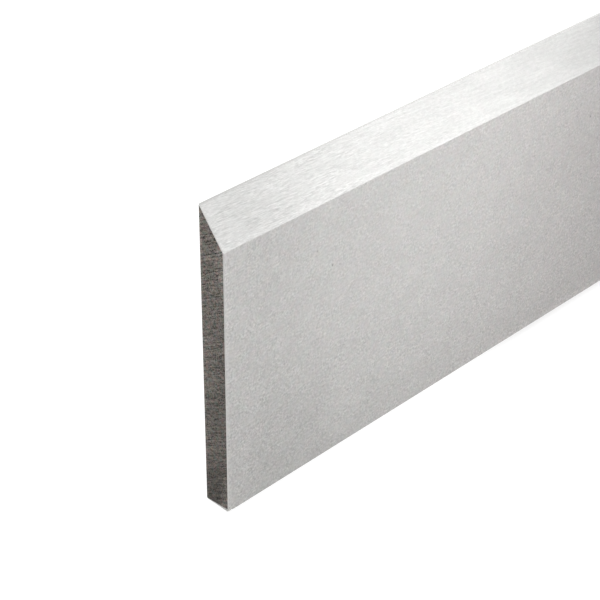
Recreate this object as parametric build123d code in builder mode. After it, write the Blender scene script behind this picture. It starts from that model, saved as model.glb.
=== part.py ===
from build123d import *
from math import cos, radians, sin, tan
import os

os.makedirs("parts", exist_ok=True)

# A knife for a wood shaving mill: one straight bar of hardened, ground steel with a single bevel
# along one long edge. It stands on its spine with the cutting edge up. X runs along its length,
# the front face with the bevel looks towards -Y and the flat back towards +Y. The origin lies
# under the middle of the spine.

# Bar stock (mm)
knife_length = 304.8
knife_width = 101.6
knife_thickness = 9.525

# Cutting edge: the angle between the flat back and the main bevel (degrees), and the short land
# honed along its tip, which is a little steeper (degrees) and measured along its slope (mm)
bevel_angle = 39.0
honing_step = 8.0
land_length = 0.5

# Edge breaks left by deburring (mm): the long corners of the spine, and the outlines of the ends
spine_break = 0.4
end_break = 0.25

front_y = -knife_thickness / 2
back_y = knife_thickness / 2

# The foot of the land, where the main bevel starts, and the heel, where it ends on the front face
land_angle = bevel_angle + honing_step
land_foot_y = back_y - land_length * sin(radians(land_angle))
land_foot_z = knife_width - land_length * cos(radians(land_angle))
heel_z = land_foot_z - (land_foot_y - front_y) / tan(radians(bevel_angle))

near_end = Plane.YZ.offset(-knife_length / 2)

with BuildPart() as mill_knife:
    # The cross-section, drawn at one end and run to the other
    with BuildSketch(near_end):
        with BuildLine():
            Polyline(
                (front_y, 0),
                (back_y, 0),
                (back_y, knife_width),
                (land_foot_y, land_foot_z),
                (front_y, heel_z),
                close=True,
            )
        make_face()
    extrude(amount=knife_length)

    # The long corners of the spine
    spine = mill_knife.faces().sort_by(Axis.Z)[0]
    chamfer(spine.edges().filter_by(Axis.X), length=spine_break)

    # The upright back corners of both ends, which run up to the tip of the cutting edge
    end_outlines = mill_knife.faces().filter_by(Axis.X).edges()
    chamfer(end_outlines.group_by(Axis.Y)[-1], length=end_break)

    # The rest of each end's outline, from the back of the spine round to the foot of the land
    end_outlines = mill_knife.faces().filter_by(Axis.X).edges()
    back_corners = end_outlines.group_by(Axis.Y)[-1]
    front_outlines = (end_outlines - back_corners).filter_by(
        lambda edge: edge.center().Z < land_foot_z
    )
    chamfer(front_outlines, length=end_break)

mill_knife.part.label = "mill_knife"
export_step(mill_knife.part, "parts/mill_knife.step")
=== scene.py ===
from math import cos, pi, radians, sin

import bmesh
import bpy
from mathutils import Matrix, Vector, noise


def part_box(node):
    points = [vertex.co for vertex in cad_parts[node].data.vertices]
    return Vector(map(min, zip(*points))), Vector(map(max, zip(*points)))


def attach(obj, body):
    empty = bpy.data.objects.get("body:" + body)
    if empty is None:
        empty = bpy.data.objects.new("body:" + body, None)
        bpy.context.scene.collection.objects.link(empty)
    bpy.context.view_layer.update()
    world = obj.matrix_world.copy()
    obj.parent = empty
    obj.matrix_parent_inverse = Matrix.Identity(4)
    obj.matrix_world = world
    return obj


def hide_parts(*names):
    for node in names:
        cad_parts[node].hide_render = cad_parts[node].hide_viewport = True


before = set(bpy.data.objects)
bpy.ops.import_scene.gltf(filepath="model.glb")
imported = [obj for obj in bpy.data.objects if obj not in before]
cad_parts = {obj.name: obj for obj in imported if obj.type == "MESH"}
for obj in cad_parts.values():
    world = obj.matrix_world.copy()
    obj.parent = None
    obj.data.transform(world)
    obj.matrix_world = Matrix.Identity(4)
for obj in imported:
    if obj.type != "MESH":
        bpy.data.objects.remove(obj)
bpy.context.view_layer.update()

# A knife for a wood shaving mill, standing on its spine on a white table. X runs along its length,
# the front face with the bevel looks towards -Y, the flat back towards +Y, and the cutting edge is
# on top. Places are in metres, and the materials work in millimetres.

MM = 0.001
NODE = "mill_knife"

LOW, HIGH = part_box(NODE)
LENGTHWISE = Vector((1, 0, 0))
BACKWARDS = Vector((0, 1, 0))
UP = Vector((0, 0, 1))

# The camera stands off the near end, in front of the knife and above it.
CAMERA_PLACE = Vector((-409.83, -290.44, 331.0)) * MM
CAMERA_HEADING = 44.938   # degrees from +X towards +Y
CAMERA_PITCH = -33.652
CAMERA_ROLL = 0.582
CAMERA_LENS = 102.836     # for a sensor 36 mm wide
SENSOR_WIDTH = 36.0
CAMERA_NEAREST = 10 * MM

# Light: an even white room, a small softbox over the front of the knife and a larger one behind.
# A softbox has its place, its width, its height and how bright its face is, where 1 is white.
ROOM_LIGHT = 0.5
FRONT_SOFTBOX = (Vector((64, -149, 188)) * MM, 184 * MM, 133 * MM, 2.703)
BACK_SOFTBOX = (Vector((-150, 350, 450)) * MM, 400 * MM, 400 * MM, 3.8)
SOFTBOX_AIM = Vector((-50, 0, 50)) * MM

# The table lies a hair under the spine. White paint on it keeps the real light and shade, and a
# glow is mixed in: by one share where the camera sees the table, by another in reflections.
FLOOR_SIDE = 6.0
FLOOR_GAP = 0.02 * MM
FLOOR_PAINT = 0.86
FLOOR_GLOW = 1.27
GLOW_TO_CAMERA = 0.68
GLOW_TO_METAL = 0.1

# The soft contact shadow at the foot of the front takes this share of the glow where it is deepest.
# Along X, in mm, it starts at the first place and is deepest from the second one on, and it fades
# out over its width.
CONTACT_ALONG = (-52.0, -12.0)
CONTACT_WIDTH = 3.0
CONTACT_DEPTH = 0.17

# Each finish has its steel's colour; the size in mm of its coloured specks, and how far red, green
# and blue vary in them; its least roughness, and how much a pattern adds at most; the depth of its
# fine relief in mm; and, on a ground face, how far its grain spreads reflections one way. Specks
# and patches have a size, and strokes a length and a width, in mm. Their contrast is the change
# that they make to a middle tone of 1.

# A change over a face goes from one place to another, in mm, and from one factor or contrast to
# another. Its name ends in how the places are measured: ALONG the knife from the near end, IN from
# the nearer end, UP from the floor, BACK from the middle of the thickness, or DOWN the bevel from
# the cutting edge. One with places alone has the change below it as its first factor, and then 1.

# A mark, or a painted light or shade, has two distances to its middle, its length and its width, in
# mm, and then how dark it is, or how bright where that is negative. It is darkest up to this share
# of the way to its rim.
MARK_OR_LIGHT_CORE = 0.2

# No pattern makes a steel's tone darker than this.
DARKEST_TONE = 0.1

# The ground flats. The contrast of their specks comes in clusters: it goes from the third number,
# where the clusters' value is the first, to the fourth, where it is the second.
FLAT_STEEL = (0.552, 0.545, 0.535)
FLAT_TINTS = (2.1, (0.085, 0.06, 0.06))
FLAT_ROUGHNESS = (0.574, 0.06)
FLAT_RELIEF = 0.006
FLAT_GRAIN = 0.867
FLAT_SPECKS = 0.66
FLAT_CLUSTERS = 4.5
FLAT_CLUSTERED_CONTRAST = (0.35, 0.65, 0.36, 0.69)
FLAT_CONTRAST_UP = (0.0, 75.0, 1.3, 0.95)
FLAT_NEAR_CONTRAST_ALONG = (0.0, 60.0, 1.08, 0.88)
FLAT_FAR_CONTRAST_ALONG = (85.0, 150.0, 1.0, 1.15)
FLAT_SCRATCHES = (3.0, 0.6)
FLAT_SCRATCH_CONTRAST = 0.16
FLAT_PATCHES = 7
FLAT_PATCH_CONTRAST = 0.13
FLAT_RUBBED_IN = (0.0, 1.8, 1.08, 1.0)
# Painted light: the flats are lighter near the ends, more so higher up.
FLAT_PAINTED_LIGHT_IN = (0.0, 20.0)
FLAT_PAINTED_LIGHT_UP = (20.0, 85.0, 1.02, 1.08)
# Painted shade: the flats are darker towards the spine.
FLAT_PAINTED_SHADE_UP = (0.0, 18.0, 0.975, 1.0)
# Painted light: the flats are brighter along the spine's edge, far along the knife.
FLAT_SPINE_LIGHT_UP = (0.4, 3.5)
FLAT_SPINE_LIGHT_ALONG = (82.4, 162.4, 1.0, 1.09)

# The flats turn warmer far along the knife: this much red, green and blue is added there.
FLAT_WARMTH = (0.009, 0.0, 0.002)
FLAT_WARMTH_ALONG = (60.0, 180.0, 0.0, 1.0)

# Marks and painted light on the front, by their distance from the near end and their height:
# painted shade low at the near end, a broad painted highlight in the middle, painted shade low near
# the middle, the brighter lower corner, and four rust pits
FRONT_MARKS_AND_PAINTED_LIGHT = [
    # painted shade, low at the near end
    (27, 15, 48, 68, 0.065),
    # a broad painted highlight in the middle
    (92, 52, 110, 62, -0.017),
    # painted shade, low near the middle
    (66, 6, 70, 60, 0.022),
    (0, 0, 9, 28, -0.06),
    (35.6, 75.1, 1.1, 1.1, 0.23),
    (41.9, 67.7, 1.1, 1.1, 0.37),
    (45.0, 66.8, 1.2, 1.2, 0.2),
    (162.0, 72.1, 1.2, 1.2, 0.32),
]

# The bevel. Its grinding lines sink by this angle towards the far end, and their contrast comes in
# bunches, as that of the flats' specks does in clusters.
BEVEL_DRIFT = radians(3)
BEVEL_STEEL = (0.5125, 0.5115, 0.5035)
BEVEL_TINTS = (2.4, (0.035, 0.03, 0.01))
BEVEL_ROUGHNESS = (0.485, 0.06)
BEVEL_RELIEF = 0.005
BEVEL_GRAIN = 0.754
BEVEL_STROKES = (1.9, 0.25)
BEVEL_BUNCHES = (9, 3)
BEVEL_BUNCHED_CONTRAST = (0.3, 0.7, 0.34, 0.64)
BEVEL_CONTRAST_ALONG = (10.0, 140.0, 1.38, 0.4)
BEVEL_BROAD_STROKES = (2.0, 0.7)
BEVEL_BROAD_CONTRAST_ALONG = (20.0, 110.0, 0.04, 0.22)
BEVEL_LONG_STROKES = (14, 0.4)
BEVEL_LONG_CONTRAST = 0.17
BEVEL_SPECKS = 0.5
BEVEL_SPECK_CONTRAST = 0.16
BEVEL_PATCHES = (20, 5)
BEVEL_PATCH_CONTRAST = 0.165
BEVEL_TOP_DOWN = (0.7, 1.5)
BEVEL_TOP_ALONG = (12.0, 45.0, 0.93, 1.0)
# A painted highlight along the heel of the bevel.
BEVEL_HEEL_HIGHLIGHT_DOWN = (12.5, 14.5, 1.0, 1.03)
# Painted light: the bevel is lighter near the ends.
BEVEL_PAINTED_LIGHT_IN = (0.0, 13.0, 1.085, 1.0)
BEVEL_FAR_DOWN = (1.0, 6.0)
BEVEL_FAR_ALONG = (130.0, 170.0, 1.0, 1.09)

# Marks on the bevel, by their distance from the near end and down the slope: two stains, and then
# the deepest nicks
BEVEL_MARKS = [
    (22, 7, 40, 28, 0.022),
    (3, 10.5, 16, 4, 0.04),
    (21.9, 11.0, 4.6, 1.0, 0.2),
    (26.5, 11.8, 6.0, 0.6, 0.12),
    (17.0, 10.0, 9.0, 0.5, 0.09),
    (8.5, 7.2, 2.6, 0.7, 0.14),
]

# The land honed along the cutting edge
LAND_STEEL = (0.445, 0.443, 0.434)
LAND_TINTS = (1.6, (0.05, 0.04, 0.04))
LAND_ROUGHNESS = (0.42, 0.08)
LAND_RELIEF = 0.002
LAND_STROKES = (4, 0.15)
LAND_CONTRAST = 0.1
LAND_NEAR_ALONG = (0.0, 60.0, 1.045, 1.11)
LAND_MIDDLE_ALONG = (68.0, 90.0, 1.0, 0.955)
LAND_FAR_ALONG = (146.0, 168.0, 1.0, 1.11)

# The two ends, with their cut marks
END_STEEL = (0.1655, 0.1512, 0.1366)
END_TINTS = (1.2, (0.76, 0.26, 0.3))
END_ROUGHNESS = (0.52, 0.16)
END_RELIEF = 0.02
END_STROKES = (1.6, 0.45)
END_STROKE_CONTRAST = 2.0
END_LONG_STROKES = (12, 0.4)
END_LONG_CONTRAST = 1.6
END_BANDS = (12, 6)
END_BAND_CONTRAST = 0.4
END_PITS = 0.42
END_PIT_CONTRAST = 2.7
# Painted light makes the ends paler towards the top, and painted shade darker at the foot.
END_PAINTED_LIGHT_UP = (38.0, 92.0, 0.915, 1.16)
END_PAINTED_SHADE_UP = (8.0, 20.0, 0.7, 1.0)
END_PALER_BACK = (LOW.y / MM, HIGH.y / MM, 0.94, 1.05)
END_RUBBED_BACK = (3.4, 4.5, 1.0, 1.25)

# Bright places on the ends, by their height and their distance from the front: the lower front
# corner, the heel of the bevel, and two pale places between.
END_BRIGHT_PLACES = [
    (0, 0, 34, 9.5, -1.17),
    (88, 0, 42, 9, -0.4),
    (55, 1.0, 40, 8, -0.1),
    (51, 6.8, 24, 8, -0.15),
]

# The broken edges
EDGE_STEEL = (0.66, 0.652, 0.638)
EDGE_TINTS = (1.6, (0.09, 0.06, 0.06))
EDGE_ROUGHNESS = (0.42, 0.16)
EDGE_RELIEF = 0.006
EDGE_RUBS = 0.9
EDGE_CONTRAST = 0.25

# The cutting edge is worn down by this much at the near end, less and less up to this distance. It
# is sliced in steps along that length, and reaches this far below the top.
EDGE_WEAR = 0.5 * MM
EDGE_WEAR_LENGTH = 112 * MM
EDGE_STEP = 8 * MM
EDGE_REACH = 1 * MM

# The heel of the bevel lies lower, and each end's outline, set in by its break, rises at the tip.
HEEL_DROP = 0.2 * MM
END_BREAK = 0.25 * MM
TIP_RISE = Vector((0, 0.09, 0.35)) * MM

# The back corner of the spine keeps this share of its break, which reaches this far.
SPINE_SHARPNESS = 0.25
SPINE_REACH = 0.7 * MM

# The near end's front corner is chipped along the spine, in mm: distance from the end, depth. The
# mesh already has corners at the first two distances. Those within this reach of the edge move.
CORNER_CHIP = [(0.0, 0.5), (0.25, 0.2), (0.9, 0.13), (1.5, 0.65), (2.1, 0.06), (3.0, 0.0)]
CORNER_REACH = 0.6 * MM

# The lower edge of each end has a bright facet that widens towards the front and leans in.
FOOT_AT_BACK = 0.3 * MM
FOOT_AT_FRONT = 1.2 * MM
FOOT_LEAN = 0.12 * MM

# Cut marks on the ends rise towards the front face. Each end is sliced into strips along them and
# into upright columns, and its corners sink by up to this depth, in streaks this long and wide.
CUT_SLOPE = radians(30)
CUT_ALONG = Vector((0, -cos(CUT_SLOPE), sin(CUT_SLOPE)))
CUT_ACROSS = Vector((0, sin(CUT_SLOPE), cos(CUT_SLOPE)))
CUT_PITCH = 0.45 * MM
CUT_COLUMN = 1.2 * MM
CUT_DEPTH = 0.035 * MM
CUT_STREAK = (3 * MM, 0.6 * MM)

# How much of a face's normal lies along an axis, where the face looks straight that way and where
# it slopes that way. Corners nearer than this are one, and so are faces this nearly in one plane.
STRAIGHT = 0.99
SLOPING = 0.5
SAME_PLACE = 0.001 * MM
SAME_PLANE = radians(0.5)


def make_camera():
    data = bpy.data.cameras.new("camera")
    data.lens = CAMERA_LENS
    data.sensor_width = SENSOR_WIDTH
    data.clip_start = CAMERA_NEAREST
    camera = bpy.data.objects.new("camera", data)
    turn = Matrix.Rotation(radians(CAMERA_HEADING - 90), 4, "Z")
    tilt = Matrix.Rotation(radians(90 + CAMERA_PITCH), 4, "X")
    roll = Matrix.Rotation(radians(CAMERA_ROLL), 4, "Z")
    camera.matrix_world = Matrix.Translation(CAMERA_PLACE) @ turn @ tilt @ roll
    bpy.context.scene.collection.objects.link(camera)
    bpy.context.scene.camera = camera


# Small builders for shader nodes


def node(tree, kind, inputs=None, **settings):
    """Adds a node, and sets its sockets to values or links them to other nodes' sockets."""
    made = tree.nodes.new("ShaderNode" + kind)
    for name, value in settings.items():
        setattr(made, name, value)
    for name, value in (inputs or {}).items():
        if isinstance(value, bpy.types.NodeSocket):
            tree.links.new(value, made.inputs[name])
        else:
            made.inputs[name].default_value = value
    return made


def maths(tree, operation, *values):
    return node(tree, "Math", dict(enumerate(values)), operation=operation).outputs[0]


def vector(tree, operation, *values):
    return node(tree, "VectorMath", dict(enumerate(values)), operation=operation).outputs[0]


def dot(tree, place, direction):
    """How far a place lies from the origin in a direction."""
    inputs = {0: place, 1: direction}
    return node(tree, "VectorMath", inputs, operation="DOT_PRODUCT").outputs["Value"]


def ramp(tree, value, start, end, low, high):
    """Goes smoothly from low, where value is start, to high, where it is end."""
    inputs = {
        "Value": value,
        "From Min": start,
        "From Max": end,
        "To Min": low,
        "To Max": high,
    }
    return node(tree, "MapRange", inputs, interpolation_type="SMOOTHSTEP").outputs[0]


def cloud_texture(tree, place, size, detail=1.0):
    """Noise with features about as wide as size, in the units of place."""
    inputs = {"Vector": place, "Scale": 1 / size, "Detail": detail, "Roughness": 0.5}
    return node(tree, "TexNoise", inputs)


def clouds(tree, place, size, detail=1.0):
    return cloud_texture(tree, place, size, detail).outputs["Fac"]


def laid(tree, place, grain, size):
    """Stretches a pattern to a length and a width along a grain, which is a pair of directions."""
    along, across = grain
    length, width = size
    out = along.cross(across)
    shares = [dot(tree, place, axis) for axis in (along / length, across / width, out / width)]
    return node(tree, "CombineXYZ", dict(enumerate(shares))).outputs[0]


def strokes(tree, place, grain, size, detail=1.0):
    """Clouds stretched along a grain."""
    return clouds(tree, laid(tree, place, grain, size), 1, detail)


def tone(tree, layers):
    """Adds up noise layers, given as (value from 0 to 1, contrast), around a middle of 1."""
    total = 1.0
    for value, contrast in layers:
        centred = maths(tree, "SUBTRACT", value, 0.5)
        total = maths(tree, "MULTIPLY_ADD", centred, contrast, total)
    return maths(tree, "MAXIMUM", total, DARKEST_TONE)


def product(tree, *shades):
    total = shades[0]
    for shade in shades[1:]:
        total = maths(tree, "MULTIPLY", total, shade)
    return total


def marks_and_painted_light(tree, place, corner, axes, grain, rows):
    """One shade for several marks or painted lights and shades: 1 around them, and lower by the
    darkness in their middles.

    They are placed from the corner along two axes, and they lie along the grain.
    """
    shades = []
    for first, second, length, width, darkness in rows:
        spot = corner + axes[0] * first + axes[1] * second
        around = vector(tree, "SUBTRACT", place, spot)
        scaled = laid(tree, around, grain, (length / 2, width / 2))
        reach = node(tree, "VectorMath", {0: scaled}, operation="LENGTH").outputs["Value"]
        shades.append(ramp(tree, reach, MARK_OR_LIGHT_CORE, 1.0, 1 - darkness, 1))
    return product(tree, *shades)


def tinted(tree, colour, shade, place, size, tints):
    """The colour, darkened or lightened by the shade, with red, green and blue specks."""
    hue = cloud_texture(tree, place, size).outputs["Color"]
    centred = vector(tree, "SUBTRACT", hue, (0.5, 0.5, 0.5))
    speckle = vector(tree, "MULTIPLY_ADD", centred, tints, (1.0, 1.0, 1.0))
    painted = vector(tree, "MULTIPLY", speckle, colour)
    return node(tree, "VectorMath", {0: painted, "Scale": shade}, operation="SCALE").outputs[0]


def place_in_mm(tree):
    coords = node(tree, "TexCoord").outputs["Object"]
    return vector(tree, "MULTIPLY", coords, (1 / MM,) * 3)


def new_steel(name):
    """A bare metal material, its shader, and a place on the knife in millimetres."""
    material = bpy.data.materials.new(name)
    material.use_nodes = True
    tree = material.node_tree
    shader = tree.nodes["Principled BSDF"]
    shader.inputs["Metallic"].default_value = 1
    return material, tree, shader, place_in_mm(tree)


def distances(tree, place):
    """How far a place is along from the near end, in from the nearer end, back and up, in mm."""
    axes = node(tree, "SeparateXYZ", {0: place}).outputs
    along = maths(tree, "SUBTRACT", axes["X"], LOW.x / MM)
    inwards = maths(tree, "SUBTRACT", HIGH.x / MM, maths(tree, "ABSOLUTE", axes["X"]))
    return along, inwards, axes["Y"], axes["Z"]


def set_finish(tree, shader, colour, pattern, roughness, height, depth):
    """Links a steel's colour, its roughness by a pattern, and a relief this deep in mm."""
    least, spread = roughness
    rough = maths(tree, "MULTIPLY_ADD", pattern, spread, least)
    relief = node(tree, "Bump", {"Height": height, "Distance": depth * MM})
    tree.links.new(colour, shader.inputs["Base Color"])
    tree.links.new(rough, shader.inputs["Roughness"])
    tree.links.new(relief.outputs[0], shader.inputs["Normal"])


def set_grain(tree, shader, strength):
    """Spreads reflections up and down, across grinding lines that run along the knife."""
    shader.inputs["Anisotropic"].default_value = strength
    across = node(tree, "Tangent", direction_type="RADIAL", axis="X")
    tree.links.new(across.outputs[0], shader.inputs["Tangent"])


# Materials


def ground_flat():
    """The front, back and spine: a satin grain rubbed at the ends, painted light near the ends and
    along the far spine edge, and painted shade towards the spine.
    """
    material, tree, shader, place = new_steel("ground_flat")
    along, inwards, _, up = distances(tree, place)
    level = (LENGTHWISE, UP)
    contrast = product(
        tree,
        ramp(tree, clouds(tree, place, FLAT_CLUSTERS), *FLAT_CLUSTERED_CONTRAST),
        ramp(tree, up, *FLAT_CONTRAST_UP),
        ramp(tree, along, *FLAT_NEAR_CONTRAST_ALONG),
        ramp(tree, along, *FLAT_FAR_CONTRAST_ALONG),
    )
    specks = clouds(tree, place, FLAT_SPECKS)
    scratches = strokes(tree, place, level, FLAT_SCRATCHES)
    patches = clouds(tree, place, FLAT_PATCHES, detail=3)
    layers = [
        (specks, contrast),
        (scratches, FLAT_SCRATCH_CONTRAST),
        (patches, FLAT_PATCH_CONTRAST),
    ]
    # Painted light near the ends, stronger higher up
    light_near_ends = ramp(tree, up, *FLAT_PAINTED_LIGHT_UP)
    # painted light along the spine's edge, far along the knife
    spine = ramp(tree, along, *FLAT_SPINE_LIGHT_ALONG)
    shade = product(
        tree,
        tone(tree, layers),
        ramp(tree, inwards, *FLAT_RUBBED_IN),
        ramp(tree, inwards, *FLAT_PAINTED_LIGHT_IN, light_near_ends, 1.0),
        # painted shade towards the spine
        ramp(tree, up, *FLAT_PAINTED_SHADE_UP),
        ramp(tree, up, *FLAT_SPINE_LIGHT_UP, spine, 1.0),
        # painted shade, a painted highlight, a brighter corner and rust pits on the front
        marks_and_painted_light(tree, place, LOW / MM, level, level, FRONT_MARKS_AND_PAINTED_LIGHT),
    )
    warmth = ramp(tree, along, *FLAT_WARMTH_ALONG)
    steel = vector(tree, "MULTIPLY_ADD", FLAT_WARMTH, warmth, FLAT_STEEL)
    colour = tinted(tree, steel, shade, place, *FLAT_TINTS)
    set_finish(tree, shader, colour, patches, FLAT_ROUGHNESS, specks, FLAT_RELIEF)
    set_grain(tree, shader, FLAT_GRAIN)
    return material


def ground_bevel(edge, down, grain):
    """The bevel: brighter, with bunches of short grinding lines, a few nicks, painted light near
    the ends and a painted highlight along the heel.
    """
    material, tree, shader, place = new_steel("ground_bevel")
    along, inwards, _, _ = distances(tree, place)
    slope = dot(tree, vector(tree, "SUBTRACT", place, edge), down)
    bunches = strokes(tree, place, grain, BEVEL_BUNCHES)
    contrast = product(
        tree,
        ramp(tree, bunches, *BEVEL_BUNCHED_CONTRAST),
        ramp(tree, along, *BEVEL_CONTRAST_ALONG),
    )
    fine_strokes = strokes(tree, place, grain, BEVEL_STROKES)
    broad_strokes = strokes(tree, place, grain, BEVEL_BROAD_STROKES)
    long_strokes = strokes(tree, place, grain, BEVEL_LONG_STROKES)
    patches = strokes(tree, place, grain, BEVEL_PATCHES, detail=2)
    layers = [
        (fine_strokes, contrast),
        (broad_strokes, ramp(tree, along, *BEVEL_BROAD_CONTRAST_ALONG)),
        (long_strokes, BEVEL_LONG_CONTRAST),
        (clouds(tree, place, BEVEL_SPECKS), BEVEL_SPECK_CONTRAST),
        (patches, BEVEL_PATCH_CONTRAST),
    ]
    top = ramp(tree, along, *BEVEL_TOP_ALONG)
    far = ramp(tree, along, *BEVEL_FAR_ALONG)
    shade = product(
        tree,
        tone(tree, layers),
        ramp(tree, slope, *BEVEL_TOP_DOWN, top, 1.0),
        # painted highlight along the heel
        ramp(tree, slope, *BEVEL_HEEL_HIGHLIGHT_DOWN),
        # painted light near the ends
        ramp(tree, inwards, *BEVEL_PAINTED_LIGHT_IN),
        ramp(tree, slope, *BEVEL_FAR_DOWN, far, 1.0),
        marks_and_painted_light(tree, place, edge, (LENGTHWISE, down), grain, BEVEL_MARKS),
    )
    colour = tinted(tree, BEVEL_STEEL, shade, place, *BEVEL_TINTS)
    set_finish(tree, shader, colour, fine_strokes, BEVEL_ROUGHNESS, fine_strokes, BEVEL_RELIEF)
    set_grain(tree, shader, BEVEL_GRAIN)
    return material


def honed_land(grain):
    """The narrow land along the cutting edge: finely lined, and dull between two bright parts."""
    material, tree, shader, place = new_steel("honed_land")
    along, _, _, _ = distances(tree, place)
    lines = strokes(tree, place, grain, LAND_STROKES)
    shade = product(
        tree,
        tone(tree, [(lines, LAND_CONTRAST)]),
        ramp(tree, along, *LAND_NEAR_ALONG),
        ramp(tree, along, *LAND_MIDDLE_ALONG),
        ramp(tree, along, *LAND_FAR_ALONG),
    )
    colour = tinted(tree, LAND_STEEL, shade, place, *LAND_TINTS)
    set_finish(tree, shader, colour, lines, LAND_ROUGHNESS, lines, LAND_RELIEF)
    return material


def cut_end():
    """The two ends: dull and rough from the cut, with painted shade darker towards the spine and
    painted light paler towards the top.
    """
    material, tree, shader, place = new_steel("cut_end")
    _, _, back, up = distances(tree, place)
    grain = (CUT_ALONG, CUT_ACROSS)
    upright = (UP, BACKWARDS)
    short_strokes = strokes(tree, place, grain, END_STROKES, detail=2)
    pits = clouds(tree, place, END_PITS)
    layers = [
        (short_strokes, END_STROKE_CONTRAST),
        (strokes(tree, place, grain, END_LONG_STROKES), END_LONG_CONTRAST),
        (strokes(tree, place, grain, END_BANDS), END_BAND_CONTRAST),
        (pits, END_PIT_CONTRAST),
    ]
    shade = product(
        tree,
        tone(tree, layers),
        # painted light towards the top, painted shade at the foot
        ramp(tree, up, *END_PAINTED_LIGHT_UP),
        ramp(tree, up, *END_PAINTED_SHADE_UP),
        ramp(tree, back, *END_PALER_BACK),
        ramp(tree, back, *END_RUBBED_BACK),
        marks_and_painted_light(tree, place, LOW / MM, upright, upright, END_BRIGHT_PLACES),
    )
    colour = tinted(tree, END_STEEL, shade, place, *END_TINTS)
    set_finish(tree, shader, colour, pits, END_ROUGHNESS, short_strokes, END_RELIEF)
    return material


def broken_edge():
    """The broken corners: bright where a file and handling rubbed them."""
    material, tree, shader, place = new_steel("broken_edge")
    rubs = clouds(tree, place, EDGE_RUBS, detail=2)
    shade = tone(tree, [(rubs, EDGE_CONTRAST)])
    colour = tinted(tree, EDGE_STEEL, shade, place, *EDGE_TINTS)
    set_finish(tree, shader, colour, rubs, EDGE_ROUGHNESS, rubs, EDGE_RELIEF)
    return material


# The knife

# Places of the finishes in the knife's list of materials
FLAT, BEVEL, LAND, END, EDGE = range(5)


def sloping_faces(mesh):
    """The bevel, the honed land and their ends, which look forwards and up."""
    return [f for f in mesh.faces if f.normal.y < -SLOPING and f.normal.z > SLOPING]


def end_faces(mesh, side):
    return [f for f in mesh.faces if f.normal.x * side > STRAIGHT and f.material_index == END]


def slice_faces(mesh, faces, point, normal):
    """Cuts faces along a plane, and returns the faces that they turn into."""
    edges = {edge for face in faces for edge in face.edges}
    verts = {vert for face in faces for vert in face.verts}
    cut = bmesh.ops.bisect_plane(
        mesh, geom=[*verts, *edges, *faces], plane_co=point, plane_no=normal
    )
    return [item for item in cut["geom"] if isinstance(item, bmesh.types.BMFace)]


def assign_finishes(mesh, bevel):
    """Gives each face the place of its finish in the list, and keeps it flat."""
    sloping = sloping_faces(mesh)
    for face in mesh.faces:
        if abs(face.normal.x) > STRAIGHT:
            face.material_index = END
        elif face is bevel:
            face.material_index = BEVEL
        elif face in sloping and abs(face.normal.x) < 1 - STRAIGHT:
            face.material_index = LAND
        elif max(abs(face.normal.y), abs(face.normal.z)) > STRAIGHT:
            face.material_index = FLAT
        else:
            face.material_index = EDGE
        face.smooth = False


def wear(mesh):
    """Lowers the cutting edge and the heel, lifts the ends' tips, and sharpens the spine's back."""
    strip = sloping_faces(mesh)
    for step in range(1, int(EDGE_WEAR_LENGTH / EDGE_STEP) + 1):
        place = Vector((LOW.x + step * EDGE_STEP, 0, 0))
        strip = slice_faces(mesh, strip, place, LENGTHWISE)
    for vert in mesh.verts:
        at_end = abs(vert.co.x) > HIGH.x - END_BREAK / 2
        if vert.co.z > HIGH.z - EDGE_REACH:
            if at_end:
                vert.co += TIP_RISE
            vert.co.z -= EDGE_WEAR * max(0, 1 - (vert.co.x - LOW.x) / EDGE_WEAR_LENGTH)
        elif vert.co.z > HIGH.z / 2:
            vert.co.z -= HEEL_DROP
        inset = END_BREAK if at_end else 0
        corner = Vector((vert.co.x, HIGH.y - inset, LOW.z))
        if (vert.co - corner).length < SPINE_REACH:
            vert.co = corner.lerp(vert.co, SPINE_SHARPNESS)
            vert.co.z -= inset * SPINE_SHARPNESS
    mesh.normal_update()


def chip_depth(distance):
    """How deep the chip is at a distance from the near end, both in mm."""
    for (start, before), (stop, after) in zip(CORNER_CHIP, CORNER_CHIP[1:]):
        if start <= distance <= stop:
            return before + (after - before) * (distance - start) / (stop - start)
    return 0.0


def chip_corner(mesh):
    """Chips the front edge of the spine beside the near end."""
    for distance, _ in CORNER_CHIP[2:]:
        slice_faces(mesh, mesh.faces, Vector((LOW.x + distance * MM, 0, 0)), LENGTHWISE)
    for vert in mesh.verts:
        if vert.co.y > LOW.y + CORNER_REACH or vert.co.z > LOW.z + CORNER_REACH:
            continue
        depth = chip_depth((vert.co.x - LOW.x) / MM) * MM
        if vert.co.z > LOW.z + CORNER_REACH / 2:
            vert.co.z += depth
        else:
            vert.co.y += depth


def foot_facet(mesh, side):
    """Cuts a narrow facet off the lower edge of one end and leans it in."""
    rise = (FOOT_AT_FRONT - FOOT_AT_BACK) / (HIGH.y - LOW.y)
    back = Vector((0, HIGH.y, LOW.z + FOOT_AT_BACK))
    slice_faces(mesh, end_faces(mesh, side), back, Vector((0, rise, 1)))
    facet = min(end_faces(mesh, side), key=lambda face: face.calc_center_median().z)
    facet.material_index = EDGE
    for vert in facet.verts:
        if vert.co.z < LOW.z + FOOT_AT_BACK:
            vert.co.x -= side * FOOT_LEAN


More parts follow.
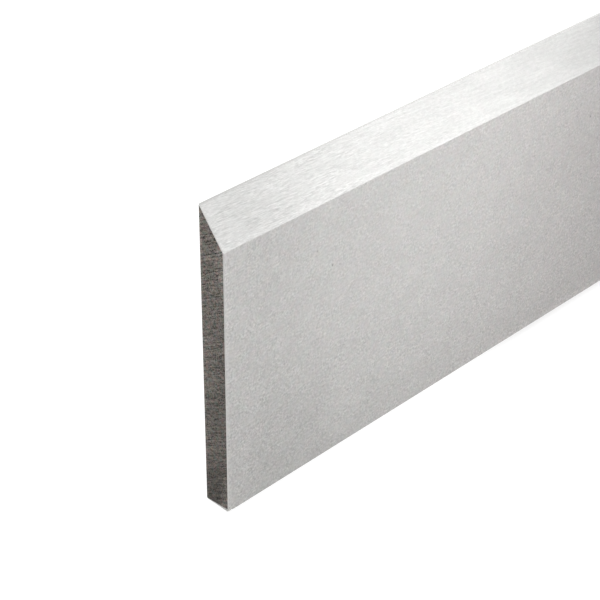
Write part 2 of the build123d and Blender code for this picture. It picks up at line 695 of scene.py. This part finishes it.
def cut_marks(mesh, side):
    """Slices one end into narrow sloping strips and sinks them unevenly, as a saw leaves it."""
    start = Vector((0, LOW.y, LOW.z)).dot(CUT_ACROSS)
    stop = Vector((0, HIGH.y, HIGH.z)).dot(CUT_ACROSS)
    for strip in range(1, int((stop - start) / CUT_PITCH)):
        place = CUT_ACROSS * (start + strip * CUT_PITCH)
        slice_faces(mesh, end_faces(mesh, side), place, CUT_ACROSS)
    for column in range(1, int((HIGH.y - LOW.y) / CUT_COLUMN)):
        place = Vector((0, LOW.y + column * CUT_COLUMN, 0))
        slice_faces(mesh, end_faces(mesh, side), place, BACKWARDS)

    ends = set(end_faces(mesh, side))
    verts = {vert for face in ends for vert in face.verts if ends.issuperset(vert.link_faces)}
    length, width = CUT_STREAK
    for vert in verts:
        spot = Vector((side, vert.co.dot(CUT_ALONG) / length, vert.co.dot(CUT_ACROSS) / width))
        vert.co.x -= side * CUT_DEPTH * (0.5 + 0.5 * noise.noise(spot))


def make_knife():
    """Takes the knife's shape from the frame, gives each face a finish, and wears the shape."""
    shape = bmesh.new()
    shape.from_mesh(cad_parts[NODE].data)
    bmesh.ops.remove_doubles(shape, verts=shape.verts, dist=SAME_PLACE)
    bmesh.ops.dissolve_limit(shape, angle_limit=SAME_PLANE, verts=shape.verts, edges=shape.edges)
    bevel = max(sloping_faces(shape), key=lambda face: face.calc_area())
    edge = Vector((LOW.x, HIGH.y, HIGH.z)) / MM
    down = LENGTHWISE.cross(bevel.normal).normalized()
    along = LENGTHWISE * cos(BEVEL_DRIFT) + down * sin(BEVEL_DRIFT)
    grain = (along, bevel.normal.cross(along).normalized())

    assign_finishes(shape, bevel)
    wear(shape)
    chip_corner(shape)
    for side in (-1, 1):
        foot_facet(shape, side)
        cut_marks(shape, side)

    mesh = bpy.data.meshes.new("knife")
    shape.to_mesh(mesh)
    shape.free()
    finishes = [
        ground_flat(),
        ground_bevel(edge, down, grain),
        honed_land(grain),
        cut_end(),
        broken_edge(),
    ]
    for finish in finishes:
        mesh.materials.append(finish)
    knife = bpy.data.objects.new("knife", mesh)
    bpy.context.scene.collection.objects.link(knife)
    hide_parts(NODE)
    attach(knife, "root")


# Stage


def make_room():
    """A white world. What looks at it directly or in a reflection sees it at full white."""
    world = bpy.data.worlds.new("room")
    world.use_nodes = True
    world.cycles.sampling_method = "NONE"
    tree = world.node_tree
    tree.nodes.clear()
    path = node(tree, "LightPath").outputs
    seen = maths(tree, "MAXIMUM", path["Is Camera Ray"], path["Is Glossy Ray"])
    seen = maths(tree, "MAXIMUM", seen, path["Is Transmission Ray"])
    white = (1, 1, 1, 1)
    light = node(tree, "Background", {"Color": white, "Strength": ROOM_LIGHT}).outputs[0]
    backdrop = node(tree, "Background", {"Color": white, "Strength": 1}).outputs[0]
    room = node(tree, "MixShader", {0: seen, 1: light, 2: backdrop}).outputs[0]
    node(tree, "OutputWorld", {"Surface": room})
    bpy.context.scene.world = world


def make_softbox(name, place, width, height, glow):
    """A lamp with a flat face. Its power grows with its area, so that the face glows as asked."""
    data = bpy.data.lights.new(name, "AREA")
    data.shape = "RECTANGLE"
    data.size = width
    data.size_y = height
    data.energy = glow * pi * width * height
    lamp = bpy.data.objects.new(name, data)
    lamp.location = place
    lamp.rotation_euler = (place - SOFTBOX_AIM).to_track_quat("Z", "Y").to_euler()
    bpy.context.scene.collection.objects.link(lamp)


def contact_shadow(tree):
    """How much of the table's glow stays: less at the foot of the front, and all past the ends."""
    axes = node(tree, "SeparateXYZ", {0: place_in_mm(tree)}).outputs
    deepest = ramp(tree, axes["X"], *CONTACT_ALONG, 1.0, 1 - CONTACT_DEPTH)
    past = maths(tree, "SUBTRACT", maths(tree, "ABSOLUTE", axes["X"]), HIGH.x / MM)
    deepest = ramp(tree, past, 0.0, CONTACT_WIDTH, deepest, 1.0)
    out = maths(tree, "ABSOLUTE", maths(tree, "SUBTRACT", axes["Y"], LOW.y / MM))
    return ramp(tree, out, 0.0, CONTACT_WIDTH, deepest, 1.0)


def make_floor():
    """A white table that keeps part of its real light and shade, and is clear from below."""
    mesh = bpy.data.meshes.new("floor")
    half = FLOOR_SIDE / 2
    top = LOW.z - FLOOR_GAP
    corners = [(-half, -half, top), (half, -half, top), (half, half, top), (-half, half, top)]
    mesh.from_pydata(corners, [], [range(4)])
    floor = bpy.data.objects.new("floor", mesh)
    bpy.context.scene.collection.objects.link(floor)
    material = bpy.data.materials.new("floor")
    material.use_nodes = True
    tree = material.node_tree
    tree.nodes.clear()
    path = node(tree, "LightPath").outputs
    metal = maths(tree, "MAXIMUM", path["Is Glossy Ray"], path["Is Transmission Ray"])
    share = maths(tree, "MULTIPLY", metal, GLOW_TO_METAL)
    share = maths(tree, "MULTIPLY_ADD", path["Is Camera Ray"], GLOW_TO_CAMERA, share)
    paint = node(tree, "BsdfDiffuse", {"Color": (*(FLOOR_PAINT,) * 3, 1)}).outputs[0]
    glow = maths(tree, "MULTIPLY", contact_shadow(tree), FLOOR_GLOW)
    white = node(tree, "Emission", {"Strength": glow}).outputs[0]
    table = node(tree, "MixShader", {0: share, 1: paint, 2: white}).outputs[0]
    clear = node(tree, "BsdfTransparent").outputs[0]
    from_below = node(tree, "NewGeometry").outputs["Backfacing"]
    surface = node(tree, "MixShader", {0: from_below, 1: table, 2: clear}).outputs[0]
    node(tree, "OutputMaterial", {"Surface": surface})
    mesh.materials.append(material)


bpy.context.scene.view_settings.view_transform = "Standard"
make_camera()
make_room()
make_softbox("front_softbox", *FRONT_SOFTBOX)
make_softbox("back_softbox", *BACK_SOFTBOX)
make_floor()
make_knife()
